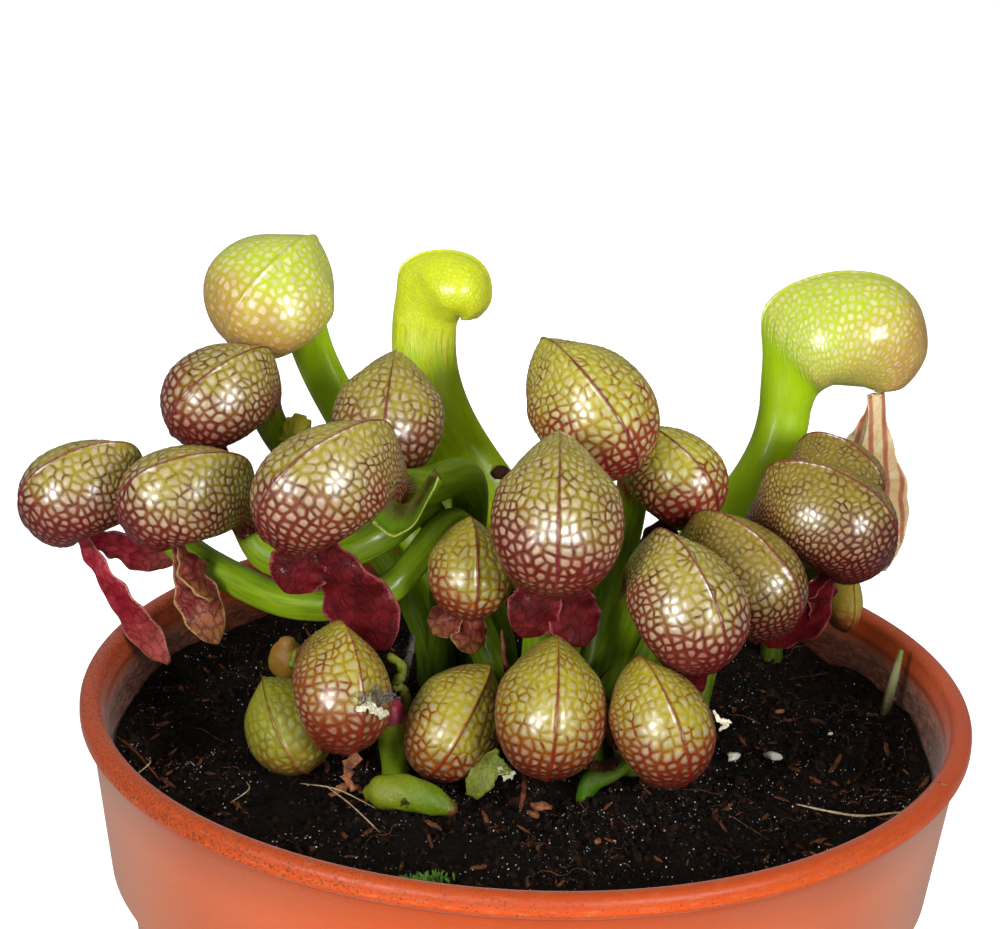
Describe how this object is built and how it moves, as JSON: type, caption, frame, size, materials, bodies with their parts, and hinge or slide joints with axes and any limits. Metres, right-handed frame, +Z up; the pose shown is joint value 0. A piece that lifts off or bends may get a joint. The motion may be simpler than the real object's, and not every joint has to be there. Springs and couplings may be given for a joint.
{
  "type": "potted pitcher plant",
  "caption": "Potted cobra lily: netted hooded pitchers with forked red tongues on arching green tubes, in a round plastic nursery pot filled with peat.",
  "frame": {"origin": "centre of the pot's flat base, on the surface that it stands on", "axes": "+Z up out of the pot; -Y is the front, where most hoods face; +X to the right seen from the front"},
  "size_m": [0.1301, 0.12, 0.1596],
  "materials": {
    "pot_plastic": "terracotta-coloured polypropylene, satin, dusty at the lip",
    "peat": "wet black peat, rough",
    "hood_net": "glossy leaf, pale cells in a maroon net",
    "hood_dark": "glossy leaf, olive cells in a dark maroon net",
    "hood_ochre": "satin leaf, ochre cells in an orange-brown net",
    "hood_lime": "translucent lime leaf with pale windows",
    "tongue_crimson": "thin crimson blade, satin",
    "tongue_mottled": "thin mottled maroon blade",
    "tongue_orange": "thin orange-red blade",
    "tongue_cream": "thin cream blade with red stripes",
    "stem_green": "fresh green, glossy",
    "dry_straw": "dry straw"
  },
  "bodies": {
    "root": {"bud_left": "hood_ochre", "dry_stalk": "dry_straw", "pitcher_bud_right": "hood_ochre", "pitcher_centre": "hood_net", "pitcher_centre_back": "hood_net", "pitcher_centre_left": "hood_net", "pitcher_far_left": "hood_net", "pitcher_far_right": "hood_dark", "pitcher_far_right_back": "hood_dark", "pitcher_green_low": "hood_ochre", "pitcher_inner": "hood_ochre", "pitcher_left": "hood_net", "pitcher_left_back": "hood_net", "pitcher_left_front": "hood_net", "pitcher_low_centre": "hood_ochre", "pitcher_low_centre_left": "hood_ochre", "pitcher_low_left": "hood_ochre", "pitcher_low_right": "hood_ochre", "pitcher_right": "hood_dark", "pitcher_right_back": "hood_net", "pitcher_right_front": "hood_net", "pitcher_tall_left": "hood_lime", "pitcher_tall_right": "hood_lime", "pitcher_young": "hood_lime", "pot": "pot_plastic", "soil": "peat", "stub_hooked": "stem_green", "stub_lying": "stem_green", "stub_upright": "stem_green", "tongue_centre": "tongue_crimson", "tongue_far_left": "tongue_crimson", "tongue_far_right": "tongue_crimson", "tongue_inner": "tongue_mottled", "tongue_left": "tongue_mottled", "tongue_left_back": "tongue_crimson", "tongue_left_front": "tongue_crimson", "tongue_right_back": "tongue_crimson", "tongue_right_front": "tongue_crimson", "tongue_tall_left": "tongue_orange", "tongue_tall_right": "tongue_cream", "wing_left_front": "stem_green"}
  },
  "joints": []
}
